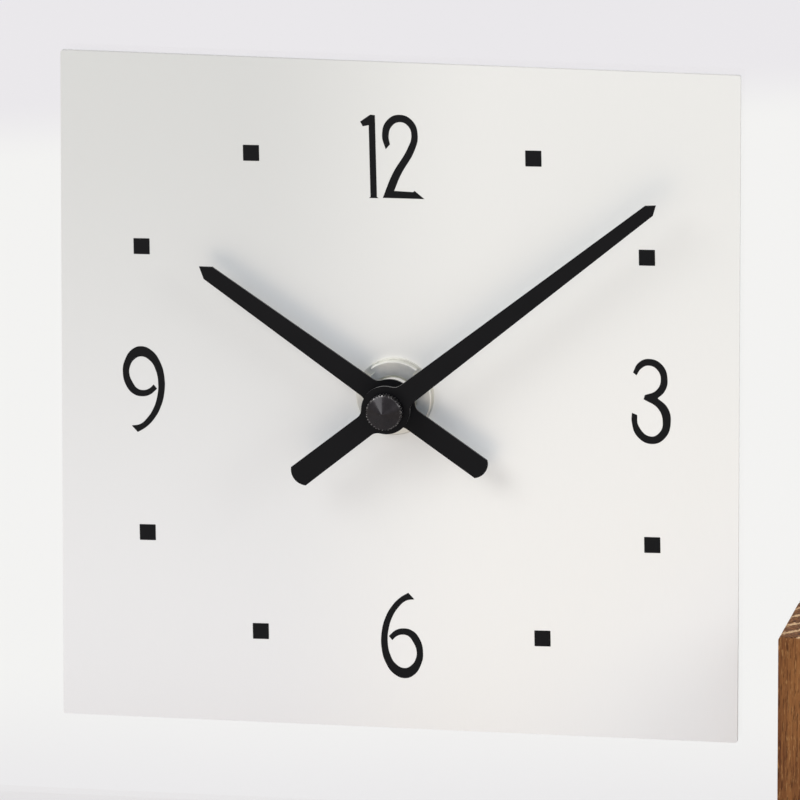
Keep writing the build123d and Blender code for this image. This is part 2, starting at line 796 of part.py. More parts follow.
# Minute wheel of the motion work: driven by the cannon pinion, its own pinion drives the
# hour wheel. It turns on the stud of the case.
with BuildPart() as minute_wheel:
    with BuildSketch(facing(minute_wheel_front + wheel_thickness, *minute_wheel_axis)):
        Polygon(*toothed(minute_wheel_teeth, motion_module, minute_wheel_phase), align=None)
    extrude(amount=wheel_thickness)
    with BuildSketch(facing(minute_wheel_front, *minute_wheel_axis)):
        Polygon(*toothed(minute_pinion_teeth, hour_module, minute_pinion_phase), align=None)
    extrude(amount=layer_pitch + pinion_lead)
    with BuildSketch(facing(minute_wheel_front + wheel_thickness, *minute_wheel_axis)):
        Circle(stud_diameter / 2 + running_gap)
    extrude(amount=wheel_thickness + layer_pitch + pinion_lead, mode=Mode.SUBTRACT)
write(minute_wheel.part, "minute_wheel")

# Setting arbor: its pinion turns the minute wheel, its rear end carries the knob.
with BuildPart() as setting_arbor:
    with BuildSketch(facing(case_back + knob_gap + knob_thickness, *setting_axis)):
        Circle(setting_arbor_diameter / 2)
    extrude(amount=case_back + knob_gap + knob_thickness - floor_back - end_play)
    with BuildSketch(facing(minute_wheel_front + wheel_thickness + pinion_lead, *setting_axis)):
        Polygon(*toothed(setting_teeth, motion_module, setting_phase), align=None)
    extrude(amount=wheel_thickness + 2 * pinion_lead)
write(setting_arbor.part, "setting_arbor")

# Fluted knob at the back that sets the hands.
with BuildPart() as setting_knob:
    with BuildSketch(facing(case_back + knob_gap + knob_thickness, *setting_axis)):
        Circle(knob_diameter / 2)
        Circle(setting_arbor_diameter / 2, mode=Mode.SUBTRACT)
        with PolarLocations(knob_diameter / 2, knob_flutes):
            Circle(knob_flute_diameter / 2, mode=Mode.SUBTRACT)
    extrude(amount=knob_thickness)
    with BuildSketch(facing(case_back + knob_gap + knob_thickness, *setting_axis)):
        Circle(knob_dish_diameter / 2)
    extrude(amount=knob_dish_depth, mode=Mode.SUBTRACT)
write(setting_knob.part, "setting_knob")

# Centre wheel: turns once an hour, held on the minute arbor by friction alone.
with BuildPart() as centre_wheel:
    with BuildSketch(facing(centre_wheel_front + wheel_thickness)):
        Polygon(*toothed(centre_wheel_teeth, train_module, centre_wheel_phase), align=None)
        with PolarLocations(wheel_window_ring, wheel_windows):
            Circle(wheel_window_diameter / 2, mode=Mode.SUBTRACT)
        Circle(clutch_seat_diameter / 2 + running_gap, mode=Mode.SUBTRACT)
    extrude(amount=wheel_thickness)
write(centre_wheel.part, "centre_wheel")

# Third wheel, moulded in one piece with its pinion and arbor.
with BuildPart() as third_wheel:
    with BuildSketch(facing(third_wheel_front + wheel_thickness, *third_axis)):
        Polygon(*toothed(third_wheel_teeth, third_module, third_wheel_phase), align=None)
    extrude(amount=wheel_thickness)
    with BuildSketch(facing(third_wheel_front, *third_axis)):
        Polygon(*toothed(third_pinion_teeth, train_module, third_pinion_phase), align=None)
    extrude(amount=layer_pitch + pinion_lead)
    with BuildSketch(facing(bridge_front - end_play, *third_axis)):
        Circle(arbor_diameter / 2)
    extrude(amount=bridge_front - middle_plate_back - 2 * end_play)
    with BuildSketch(facing(bridge_front - end_play + pivot_length, *third_axis)):
        Circle(pivot_diameter / 2)
    extrude(amount=bridge_front - middle_plate_back - 2 * end_play + 2 * pivot_length)
write(third_wheel.part, "third_wheel")

# Seconds wheel, behind the centre wheel. Its front pivot turns in the end of the minute
# arbor; this clock has no seconds hand.
with BuildPart() as seconds_wheel:
    with BuildSketch(facing(seconds_wheel_front + wheel_thickness)):
        Polygon(*toothed(seconds_wheel_teeth, train_module, seconds_wheel_phase), align=None)
        with PolarLocations(wheel_window_ring, wheel_windows):
            Circle(wheel_window_diameter / 2, mode=Mode.SUBTRACT)
    extrude(amount=wheel_thickness)
    with BuildSketch(facing(seconds_wheel_front)):
        Polygon(*toothed(seconds_pinion_teeth, third_module, seconds_pinion_phase), align=None)
    extrude(amount=layer_pitch + pinion_lead)
    with BuildSketch(facing(bridge_front - end_play)):
        Circle(arbor_diameter / 2)
    extrude(amount=bridge_front - clutch_end - 2 * end_play)
    with BuildSketch(facing(bridge_front - end_play + pivot_length)):
        Circle(pivot_diameter / 2)
    extrude(amount=bridge_front - clutch_end - 2 * end_play + 2 * pivot_length)
write(seconds_wheel.part, "seconds_wheel")

# Step wheel between the rotor and the seconds wheel.
with BuildPart() as step_wheel:
    with BuildSketch(facing(step_wheel_front + wheel_thickness, *step_axis)):
        Polygon(*toothed(step_wheel_teeth, motor_module, step_wheel_phase), align=None)
    extrude(amount=wheel_thickness)
    with BuildSketch(facing(step_wheel_front, *step_axis)):
        Polygon(*toothed(step_pinion_teeth, train_module, step_pinion_phase), align=None)
    extrude(amount=layer_pitch + pinion_lead)
    with BuildSketch(facing(bridge_front - end_play, *step_axis)):
        Circle(arbor_diameter / 2)
    extrude(amount=bridge_front - middle_plate_back - 2 * end_play)
    with BuildSketch(facing(bridge_front - end_play + pivot_length, *step_axis)):
        Circle(pivot_diameter / 2)
    extrude(amount=bridge_front - middle_plate_back - 2 * end_play + 2 * pivot_length)
write(step_wheel.part, "step_wheel")

# Rotor arbor with its pinion.
with BuildPart() as rotor_pinion:
    with BuildSketch(facing(step_wheel_front + wheel_thickness + pinion_lead, *rotor_axis)):
        Polygon(*toothed(rotor_teeth, motor_module, rotor_phase), align=None)
    extrude(amount=wheel_thickness + 2 * pinion_lead)
    with BuildSketch(facing(bridge_front - end_play, *rotor_axis)):
        Circle(arbor_diameter / 2)
    extrude(amount=bridge_front - middle_plate_back - 2 * end_play)
    with BuildSketch(facing(bridge_front - end_play + pivot_length, *rotor_axis)):
        Circle(pivot_diameter / 2)
    extrude(amount=bridge_front - middle_plate_back - 2 * end_play + 2 * pivot_length)
write(rotor_pinion.part, "rotor_pinion")

# Disc magnet of the rotor, in the plane of the stator.
with BuildPart() as rotor_magnet:
    with BuildSketch(
        facing(stator_front + stator_thickness / 2 + magnet_thickness / 2, *rotor_axis)
    ):
        Circle(magnet_diameter / 2)
        Circle(arbor_diameter / 2, mode=Mode.SUBTRACT)
    extrude(amount=magnet_thickness)
write(rotor_magnet.part, "rotor_magnet")

# Stator: soft iron sheet with a round window for the magnet and two legs up to the coil.
with BuildPart() as stator:
    with BuildSketch(facing(stator_back)):
        with Locations(rotor_axis):
            Circle(magnet_diameter / 2 + stator_air + stator_ring)
        with Locations((coil_x, rotor_axis[1])):
            Rectangle(2 * leg_offset + stator_leg_width, stator_leg_width)
            with GridLocations(2 * leg_offset, 0, 2, 1):
                Rectangle(
                    stator_leg_width,
                    coil_height - rotor_axis[1] + stator_leg_width / 2,
                    align=(Align.CENTER, Align.MIN),
                )
        with Locations(rotor_axis):
            Circle(magnet_diameter / 2 + stator_air, mode=Mode.SUBTRACT)
        with Locations(*stator_pins):
            Circle(pin_diameter / 2, mode=Mode.SUBTRACT)
    extrude(amount=stator_thickness)
write(stator.part, "stator")

# Core of the coil, a strip across the legs of the stator.
with BuildPart() as coil_core:
    with BuildSketch(facing(core_back, coil_x, coil_height)):
        Rectangle(2 * leg_offset + stator_leg_width, coil_core_width)
        with GridLocations(2 * leg_offset, 0, 2, 1):
            Circle(pin_diameter / 2, mode=Mode.SUBTRACT)
    extrude(amount=stator_thickness)
write(coil_core.part, "coil_core")

# Plastic bobbin round the core, and the copper winding on it.
coil_plane = Plane(
    origin=(
        axis_x + coil_x - coil_length / 2,
        core_back - stator_thickness / 2,
        axis_z + coil_height,
    ),
    x_dir=(0, 1, 0),
    z_dir=(1, 0, 0),
)
with BuildPart() as coil_bobbin:
    with BuildSketch(coil_plane):
        Circle(coil_tube_diameter / 2)
    extrude(amount=coil_length)
    with BuildSketch(
        coil_plane, coil_plane.offset(coil_length - coil_flange_thickness)
    ):
        Circle(coil_flange_diameter / 2)
    extrude(amount=coil_flange_thickness)
    with BuildSketch(coil_plane):
        Rectangle(stator_thickness, coil_core_width)
    extrude(amount=coil_length, mode=Mode.SUBTRACT)
write(coil_bobbin.part, "coil_bobbin")

with BuildPart() as coil_winding:
    with BuildSketch(coil_plane.offset(coil_flange_thickness)):
        Circle(coil_diameter / 2)
        Circle(coil_tube_diameter / 2, mode=Mode.SUBTRACT)
    extrude(amount=coil_length - 2 * coil_flange_thickness)
write(coil_winding.part, "coil_winding")

# Middle plate on the shoulders of the pillars: front bearing of the train.
with BuildPart() as middle_plate:
    with BuildSketch(facing(middle_plate_back)):
        with Locations(*bridge_pillars):
            Circle(bridge_margin)
        make_hull()
        with Locations(*bridge_pillars):
            Circle(bridge_pillar_neck / 2, mode=Mode.SUBTRACT)
        with Locations(third_axis, step_axis, rotor_axis):
            Circle(pivot_diameter / 2 + running_gap, mode=Mode.SUBTRACT)
        with Locations(setting_axis):
            Circle(setting_arbor_diameter / 2 + running_gap, mode=Mode.SUBTRACT)
        Circle(minute_arbor_diameter / 2 + running_gap, mode=Mode.SUBTRACT)
    extrude(amount=middle_plate_thickness)
write(middle_plate.part, "middle_plate")

# Rear bridge, screwed on the pillars: rear bearing of the train.
with BuildPart() as rear_bridge:
    with BuildSketch(facing(bridge_back)):
        with Locations(*bridge_pillars):
            Circle(bridge_margin)
        make_hull()
        with Locations(*bridge_pillars):
            Circle(screw_diameter / 2 + screw_play, mode=Mode.SUBTRACT)
        with Locations(centre_axis, third_axis, step_axis, rotor_axis):
            Circle(pivot_diameter / 2 + running_gap, mode=Mode.SUBTRACT)
        with Locations(setting_axis):
            Circle(setting_arbor_diameter / 2 + running_gap, mode=Mode.SUBTRACT)
    extrude(amount=bridge_thickness)
write(rear_bridge.part, "rear_bridge")

# Front half of the case: a moulded tray with the bay for the battery, the stud of the minute
# wheel, and the pillars and posts that carry everything inside.
with BuildPart() as front_case:
    with BuildSketch(facing(cover_front)):
        RectangleRounded(case_side, case_side, case_corner)
    extrude(amount=case_depth - cover_thickness)
    with BuildSketch(facing(cover_front + overrun)):
        with Locations((0, (inner_half + bay_wall_top) / 2)):
            Rectangle(2 * inner_half, inner_half - bay_wall_top)
        with Locations((0, bay_middle)):
            Rectangle(2 * inner_half, bay_height)
    extrude(amount=cover_front + overrun - floor_back, mode=Mode.SUBTRACT)
    with BuildSketch(facing(cover_front)):
        with Locations(*cover_pillars):
            Circle(cover_pillar_diameter / 2)
            Circle(screw_diameter / 2, mode=Mode.SUBTRACT)
    extrude(amount=cover_front - floor_back)
    with BuildSketch(facing(middle_plate_front)):
        with Locations(*bridge_pillars):
            Circle(bridge_pillar_diameter / 2)
        with Locations(minute_wheel_axis):
            Circle(stud_diameter / 2)
    extrude(amount=middle_plate_front - floor_back)
    with BuildSketch(facing(bridge_front)):
        with Locations(*bridge_pillars):
            Circle(bridge_pillar_neck / 2)
    extrude(amount=bridge_front - middle_plate_front)
    with BuildSketch(facing(bridge_front)):
        with Locations(*bridge_pillars):
            Circle(screw_diameter / 2)
    extrude(amount=screw_length, mode=Mode.SUBTRACT)
    with BuildSketch(facing(floor_back + neck_flange_thickness)):
        with Locations(minute_wheel_axis):
            Circle(stud_boss_diameter / 2)
        with Locations(setting_axis):
            Circle(setting_boss_diameter / 2)
            Circle(setting_arbor_diameter / 2 + running_gap, mode=Mode.SUBTRACT)
    extrude(amount=neck_flange_thickness)
    for pins, seat, end in (
        (stator_pins, stator_front, core_back + pin_stand),
        (board_pins, board_front, board_back + pin_stand),
    ):
        with BuildSketch(facing(seat)):
            with Locations(*pins):
                Circle(post_diameter / 2)
        extrude(amount=seat - floor_back)
        with BuildSketch(facing(end)):
            with Locations(*pins):
                Circle(pin_diameter / 2)
        extrude(amount=end - seat)
    with BuildSketch(facing(floor_back)):
        Circle(neck_diameter / 2 + case_play)
    extrude(amount=case_wall, mode=Mode.SUBTRACT)
write(front_case.part, "front_case")

# Back cover over the wheels. The bay of the battery stays open below it.
with BuildPart() as back_cover:
    with BuildSketch(facing(case_back)):
        with Locations((0, (case_side / 2 + bay_top) / 2)):
            Rectangle(case_side, case_side / 2 - bay_top)
    extrude(amount=cover_thickness)
    fillet(
        back_cover.edges().filter_by(Axis.Y).group_by(Axis.Z)[-1],
        radius=case_corner,
    )
    fillet(back_cover.faces().sort_by(Axis.Y)[-1].edges(), radius=cover_round)
    with BuildSketch(facing(cover_front)):
        with Locations((0, (inner_half + bay_wall_top) / 2)):
            Rectangle(
                2 * (inner_half - cover_play),
                inner_half - bay_wall_top - 2 * cover_play,
            )
            Rectangle(
                2 * (inner_half - cover_play - cover_lip_width),
                inner_half - bay_wall_top - 2 * (cover_play + cover_lip_width),
                mode=Mode.SUBTRACT,
            )
    extrude(amount=cover_lip_depth)
    with BuildSketch(facing(case_back)):
        with Locations(*cover_pillars):
            Circle(screw_diameter / 2 + screw_play)
        with Locations(setting_axis):
            Circle(setting_arbor_diameter / 2 + running_gap)
    extrude(amount=cover_thickness, mode=Mode.SUBTRACT)
write(back_cover.part, "back_cover")

# Slotted screws: three in the back cover, three in the rear bridge.
for label, seat, places in (
    ("cover_screws", case_back, cover_pillars),
    ("bridge_screws", bridge_back, bridge_pillars),
):
    with BuildPart() as screws:
        with BuildSketch(facing(seat + screw_head_height)):
            with Locations(*places):
                Circle(screw_head_diameter / 2)
        extrude(amount=screw_head_height)
        with BuildSketch(facing(seat)):
            with Locations(*places):
                Circle(screw_diameter / 2)
        extrude(amount=screw_length - end_play)
        with BuildSketch(facing(seat + screw_head_height)):
            with Locations(*places):
                Rectangle(screw_head_diameter, screw_slot_width)
        extrude(amount=screw_slot_depth, mode=Mode.SUBTRACT)
    write(screws.part, label)

# Circuit board on its posts.
with BuildPart() as circuit_board:
    with BuildSketch(facing(board_back)):
        with Locations((board_x, board_rise)):
            Rectangle(board_width, board_height)
        with Locations(*board_pins):
            Circle(pin_diameter / 2, mode=Mode.SUBTRACT)
    extrude(amount=board_thickness)
write(circuit_board.part, "circuit_board")

# Quartz crystal in its can, lying on the board.
with BuildPart() as quartz_crystal:
    with BuildSketch(
        Plane(
            origin=(
                axis_x + board_x - crystal_length / 2,
                board_back + crystal_diameter / 2,
                axis_z + board_rise + crystal_rise,
            ),
            x_dir=(0, 1, 0),
            z_dir=(1, 0, 0),
        )
    ):
        Circle(crystal_diameter / 2)
    extrude(amount=crystal_length)
write(quartz_crystal.part, "quartz_crystal")

# Driver chip under its drop of resin.
with BuildPart() as driver_chip:
    with BuildSketch(facing(board_back + chip_height, board_x, board_rise - chip_drop)):
        Circle(chip_diameter / 2)
    extrude(amount=chip_height)
    fillet(
        driver_chip.edges().filter_by(GeomType.CIRCLE).sort_by(Axis.Y)[-1],
        radius=chip_height * chip_round_share,
    )
write(driver_chip.part, "driver_chip")

# One AA cell lying in the bay: steel can with a raised button at the positive end.
with BuildPart() as battery_cell:
    with BuildSketch(cell_plane):
        Circle(cell_diameter / 2)
    extrude(amount=cell_length)
    fillet(battery_cell.edges().filter_by(GeomType.CIRCLE), radius=cell_edge)
    with BuildSketch(cell_plane.offset(cell_length)):
        Circle(cell_button_diameter / 2)
    extrude(amount=cell_button_height)
write(battery_cell.part, "battery_cell")

# Contacts: a flat plate at the positive end, a bent leaf spring at the negative end.
with BuildPart() as positive_contact:
    with BuildSketch(
        Plane(
            origin=(axis_x + inner_half, cell_middle, axis_z + bay_middle),
            x_dir=(0, 1, 0),
            z_dir=(-1, 0, 0),
        )
    ):
        Rectangle(contact_width, contact_height)
    extrude(amount=contact_thickness)
write(positive_contact.part, "positive_contact")

with BuildPart() as negative_contact:
    with BuildSketch(Plane.XY.offset(axis_z + bay_middle - contact_height / 2)):
        with BuildLine():
            Polyline(
                (leaf_back, cell_middle + contact_width / 2),
                (leaf_back, cell_middle - contact_width / 2),
                (cell_left - cell_play - contact_thickness / 2, cell_middle),
                (leaf_back + leaf_rise, cell_middle + contact_width / 2 - contact_thickness),
            )
        trace(line_width=contact_thickness)
    extrude(amount=contact_height)
write(negative_contact.part, "negative_contact")
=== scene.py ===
import math

import bmesh
import bpy
from mathutils import Matrix, Vector


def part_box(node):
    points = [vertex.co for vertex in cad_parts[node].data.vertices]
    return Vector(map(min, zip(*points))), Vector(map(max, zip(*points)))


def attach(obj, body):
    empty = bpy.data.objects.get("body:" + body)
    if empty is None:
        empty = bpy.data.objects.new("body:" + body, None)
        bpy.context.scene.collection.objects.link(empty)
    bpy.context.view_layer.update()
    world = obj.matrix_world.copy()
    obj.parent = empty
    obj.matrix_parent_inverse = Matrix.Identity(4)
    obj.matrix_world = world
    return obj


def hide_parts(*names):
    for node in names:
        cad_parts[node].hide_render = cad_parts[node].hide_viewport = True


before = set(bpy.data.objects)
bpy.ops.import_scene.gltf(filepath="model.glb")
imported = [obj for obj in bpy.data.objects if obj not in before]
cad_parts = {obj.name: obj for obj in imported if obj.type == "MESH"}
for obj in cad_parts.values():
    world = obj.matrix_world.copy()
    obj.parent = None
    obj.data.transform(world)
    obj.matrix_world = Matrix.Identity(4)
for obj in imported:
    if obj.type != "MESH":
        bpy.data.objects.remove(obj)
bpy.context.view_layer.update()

# Stand: a plank and an upright block of one dark hardwood, sawn, planed and oiled. The fibres
# run along the plank and up the block, so the top of the block shows end grain, with its
# growth rings running back from the front corner. The block is glued to the plank's end.


class Wire:
    """One output in a node tree. Sums on it add the nodes that work them out."""

    def __init__(self, tree, socket=None):
        self.tree = tree
        self.socket = socket

    def node(self, kind, settings=None, inputs=None, output=0):
        made = self.tree.nodes.new("ShaderNode" + kind)
        for name, value in (settings or {}).items():
            setattr(made, name, value)
        for name, value in (inputs or {}).items():
            if isinstance(value, Wire):
                self.tree.links.new(value.socket, made.inputs[name])
            else:
                made.inputs[name].default_value = value
        return Wire(self.tree, made.outputs[output])

    def maths(self, operation, first, second):
        return self.node("Math", {"operation": operation}, {0: first, 1: second})

    def __add__(self, other):
        return self.maths("ADD", self, other)

    def __radd__(self, other):
        return self.maths("ADD", other, self)

    def __sub__(self, other):
        return self.maths("SUBTRACT", self, other)

    def __rsub__(self, other):
        return self.maths("SUBTRACT", other, self)

    def __mul__(self, other):
        return self.maths("MULTIPLY", self, other)

    def __rmul__(self, other):
        return self.maths("MULTIPLY", other, self)

    def __truediv__(self, other):
        return self.maths("DIVIDE", self, other)

    def __abs__(self):
        return self.maths("ABSOLUTE", self, 0.0)


def colour(red, green, blue):
    """A colour as it is read off a screen, 0 to 255, made the linear one that nodes take."""
    channels = []
    for value in (red / 255, green / 255, blue / 255):
        channels.append(value / 12.92 if value < 0.04045 else ((value + 0.055) / 1.055) ** 2.4)
    return (*channels, 1.0)


def material(name, fixed, pattern):
    """A finish: numbers that are the same all over, and a pattern on the piece's own place."""
    made = bpy.data.materials.new(name)
    made.use_nodes = True
    tree = made.node_tree
    shader = tree.nodes["Principled BSDF"]
    for socket, value in fixed.items():
        shader.inputs[socket].default_value = value
    place = Wire(tree).node("TexCoord", output="Object")
    for socket, wire in pattern(place).items():
        tree.links.new(wire.socket, shader.inputs[socket])
    return made


def dress(made, *names):
    """Gives CAD nodes their finish."""
    for name in names:
        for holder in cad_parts[name].material_slots:
            holder.material = made


def stretched(place, x, y, z):
    """A place with its ways scaled: a small number draws a pattern out along that way."""
    return place.node("Mapping", inputs={"Vector": place, "Scale": (x, y, z)})


def noise(place, scale, detail=2.0, roughness=0.5):
    """Soft noise about 0.5."""
    sizes = {"Vector": place, "Scale": scale, "Detail": detail, "Roughness": roughness}
    return place.node("TexNoise", inputs=sizes)


def smooth(value, low, high):
    """0 below low, 1 above high, and a soft step between them."""
    ends = {"Value": value, "From Min": low, "From Max": high}
    return value.node("MapRange", {"interpolation_type": "SMOOTHSTEP"}, ends)


def blend(share, first, second):
    """The first colour where share is 0, and the second where it is 1."""
    return share.node("Mix", {"data_type": "RGBA"}, {0: share, 6: first, 7: second}, 2)


def dot(vector, direction):
    """How far a vector reaches along a direction."""
    ways = {0: vector, 1: direction}
    return vector.node("VectorMath", {"operation": "DOT_PRODUCT"}, ways, "Value")


def relief(height, depth):
    """A bump whose highest and lowest places are depth metres apart."""
    return height.node("Bump", inputs={"Height": height, "Distance": depth})


def facing(place):
    """Which way the surface faces."""
    return place.node("TexCoord", output="Normal")


ring_slant = math.radians(44)
ring_width = 0.0052
ring_wander = 0.7
ring_raggedness = 0.8
pore_depth = 0.0001


def wood(turn, fibres):
    """Oiled hardwood. `turn` lays the fibres up the pattern's Z, `fibres` is their real way."""

    def pattern(place):
        grain = place.node("Mapping", inputs={"Vector": place, "Rotation": turn})

        def fibrous(draw, scale, detail, roughness=0.5):
            """Noise that is drawn out along the fibres."""
            return noise(stretched(grain, 1, 1, draw), scale, detail, roughness)

        wander = fibrous(draw=0.10, scale=30, detail=3.0)
        across = dot(grain, (-math.sin(ring_slant), math.cos(ring_slant), 0.0))
        rings = across / ring_width + wander * ring_wander
        ragged = fibrous(draw=0.05, scale=950, detail=4.0, roughness=0.65)
        early = rings + (ragged - 0.5) * ring_raggedness
        ring = early.maths("FRACT", early, 0.0)
        light_line = smooth(ring, 0.70, 0.80) * (1 - smooth(ring, 0.94, 1.0))
        streaks = fibrous(draw=0.030, scale=520, detail=5.0, roughness=0.62)
        bands = fibrous(draw=0.05, scale=150, detail=2.0)
        fibre = fibrous(draw=0.025, scale=4200, detail=3.0)
        pores = smooth(fibrous(draw=0.10, scale=3000, detail=2.0), 0.56, 0.68)
        light_fibre = smooth(fibrous(draw=0.12, scale=4200, detail=3.0), 0.56, 0.70)
        tone = 1.9 * streaks + 0.7 * bands - 0.85 + 0.9 * (fibre - 0.5) + 0.22 * light_line
        plain = blend(smooth(tone, 0.0, 1.0), colour(86, 42, 13), colour(148, 93, 46))
        plain = blend(0.5 * light_fibre, plain, colour(196, 142, 84))
        plain = blend(0.65 * pores, plain, colour(66, 30, 8))
        speck = fibrous(draw=0.05, scale=1500, detail=4.0, roughness=0.8)
        cut = blend(smooth(speck, 0.34, 0.66), colour(64, 35, 16), colour(160, 106, 64))
        cut = blend(light_line * smooth(speck, 0.30, 0.48), cut, colour(232, 188, 140))
        end = smooth(abs(dot(facing(place), fibres)), 0.55, 0.85)
        height = 0.4 * fibre + 0.3 * light_fibre - pores
        return {
            "Base Color": blend(end, plain, cut),
            "Roughness": 0.50 + 0.16 * fibre + 0.18 * pores + 0.12 * end,
            "Normal": relief(height, depth=pore_depth),
        }

    return pattern


oil = {"Specular IOR Level": 0.2}
dress(material("oiled_block", oil, wood((0, 0, 0), (0, 0, 1))), "upright_block")
plank_turn = (0, math.radians(-90), 0)
dress(material("oiled_plank", oil, wood(plank_turn, (1, 0, 0))), "base_plank")

# Dowels: two beech pins glued into the plank and the block. Only their ends could ever be
# seen, with the stand taken apart.


def beech(place):
    fleck = noise(stretched(place, 0.05, 1, 1), scale=1800, detail=2.0)
    pith_ray = smooth(noise(stretched(place, 0.2, 1, 0.4), scale=2600, detail=1.0), 0.58, 0.66)
    tone = blend(fleck, colour(196, 160, 118), colour(222, 190, 150))
    return {
        "Base Color": blend(0.4 * pith_ray, tone, colour(168, 122, 84)),
        "Roughness": 0.55 + 0.2 * fleck,
        "Normal": relief(fleck, depth=0.00005),
    }


dress(material("bare_beech", {"Specular IOR Level": 0.3}, beech), "joint_dowels")

# Feet: four pads of dense black felt, punched out with round corners and stuck under the
# stand. Their rims are soft, their surface is fuzzy and their faces are flat.
crease = math.radians(50)
corners = [(side, end) for side in (-1, 1) for end in (-1, 1)]


def only(made):
    """Leaves one object selected and active."""
    bpy.ops.object.select_all(action="DESELECT")
    made.select_set(True)
    bpy.context.view_layer.objects.active = made
    return made


def started(name, add, **where):
    """A primitive at its place, as the start of a piece, open in edit mode."""
    bpy.ops.object.select_all(action="DESELECT")
    add(**where)
    made = only(bpy.context.object)
    made.name = name
    made.data.name = name
    bpy.ops.object.transform_apply(location=True, rotation=True, scale=True)
    bpy.ops.object.mode_set(mode="EDIT")
    return made


def pick(kind, test):
    """In edit mode, selects the edges or faces that pass a test, and nothing else."""
    bpy.ops.mesh.select_mode(type=kind)
    bpy.ops.mesh.select_all(action="DESELECT")
    data = bpy.context.object.data
    shape = bmesh.from_edit_mesh(data)
    for part in shape.edges if kind == "EDGE" else shape.faces:
        part.select_set(bool(test(part)))
    bmesh.update_edit_mesh(data)


def upright(edge):
    """Whether an edge stands upright."""
    first, second = edge.verts
    return abs(first.co.z - second.co.z) > 0.9 * edge.calc_length()


def rim(edge):
    """Whether an edge runs round a flat top or bottom."""
    faces = [face.normal.z for face in edge.link_faces]
    return len(faces) == 2 and abs(abs(faces[0]) - abs(faces[1])) > 0.5


def joined(pieces, name):
    """Makes several pieces one, shaded smooth but for its creases."""
    only(pieces[0])
    for piece in pieces:
        piece.select_set(True)
    bpy.ops.object.join()
    made = only(bpy.context.object)
    made.name = name
    bpy.ops.object.shade_smooth_by_angle(angle=crease)
    return made


felt_low, felt_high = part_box("felt_feet")
foot_length, foot_width = 0.030, 0.012
foot_size = Vector((foot_length, foot_width, felt_high.z - felt_low.z))
foot_round = 0.003
foot_soft = 0.0007


def felt(place):
    tuft = noise(place, scale=2600, detail=4.0, roughness=0.7)
    hair = noise(stretched(place, 1, 0.3, 1), scale=5200, detail=2.0)
    return {
        "Base Color": blend(0.6 * tuft + 0.4 * hair, colour(20, 20, 22), colour(62, 61, 62)),
        "Roughness": 0.86 + 0.12 * tuft,
        "Normal": relief(tuft + hair, depth=0.0003),
    }


felt_finish = material("black_felt", {"Sheen Weight": 0.5, "Specular IOR Level": 0.2}, felt)
feet = []
for side, end in corners:
    middle = (felt_low + felt_high) / 2
    middle.x += side * ((felt_high.x - felt_low.x) / 2 - foot_size.x / 2)
    middle.y += end * ((felt_high.y - felt_low.y) / 2 - foot_size.y / 2)
    foot = started(
        "felt_foot", bpy.ops.mesh.primitive_cube_add, size=1, location=middle, scale=foot_size
    )
    pick("EDGE", upright)
    bpy.ops.mesh.bevel(offset=foot_round, segments=6, affect="EDGES")
    pick("EDGE", rim)
    bpy.ops.mesh.bevel(offset=foot_soft, segments=4, affect="EDGES")
    bpy.ops.object.mode_set(mode="OBJECT")
    feet.append(foot)
felt_pads = joined(feet, "felt_pads")
felt_pads.data.materials.append(felt_finish)
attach(felt_pads, "stand")
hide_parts("felt_feet")

# Channels: two lengths of clear extruded plastic, pressed into the groove of the plank and
# the slot of the block. They hold the glass without letting it touch the wood.


def clear_plastic(place):
    draw = noise(stretched(place, 0.03, 1, 0.03), scale=1500, detail=2.0)
    return {
        "Base Color": blend(draw, colour(204, 210, 211), colour(230, 234, 234)),
        "Roughness": 0.24 + 0.14 * draw,
        "Normal": relief(draw, depth=0.00002),
    }


clear = {"Transmission Weight": 0.35, "IOR": 1.49}
dress(material("clear_plastic", clear, clear_plastic), "base_channel", "side_channel")

# Glass: one sheet of 4 mm float glass, its corners rounded and its edges ground and
# polished. Light that runs inside the sheet leaves by the edges, so they look green.


def sides(place, low, high):
    """1 on the sides of an upright sheet, and 0 on its front and back."""
    return 1 - smooth(abs(dot(facing(place), (0, 1, 0))), low, high)


def float_glass(place):
    edge = sides(place, 0.35, 0.8)
    ripple = noise(place, scale=6, detail=2.0)
    streak = noise(place, scale=900, detail=2.0)
    sheet = blend(ripple, colour(250, 252, 251), colour(253, 254, 253))
    return {
        "Base Color": blend(edge, sheet, colour(168, 214, 197)),
        "Metallic": 0.55 * edge,
        "Roughness": edge * (0.16 + 0.14 * streak),
    }


glass = {"Transmission Weight": 1.0, "IOR": 1.5}
dress(material("float_glass", glass, float_glass), "glass_panel")

# Dial: a square of aluminium sheet, its face satin anodised in silver. The finish has very
# fine upright brush lines. Its colour carries painted shade and light: greyest at the upper
# left, warm at the right and lightest at the lower right.
plate_low, plate_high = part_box("dial_plate")
plate_middle = (plate_low + plate_high) / 2


def from_point(place, point):
    """The way from a point."""
    return place.node("Mapping", inputs={"Vector": place, "Location": tuple(-point)})


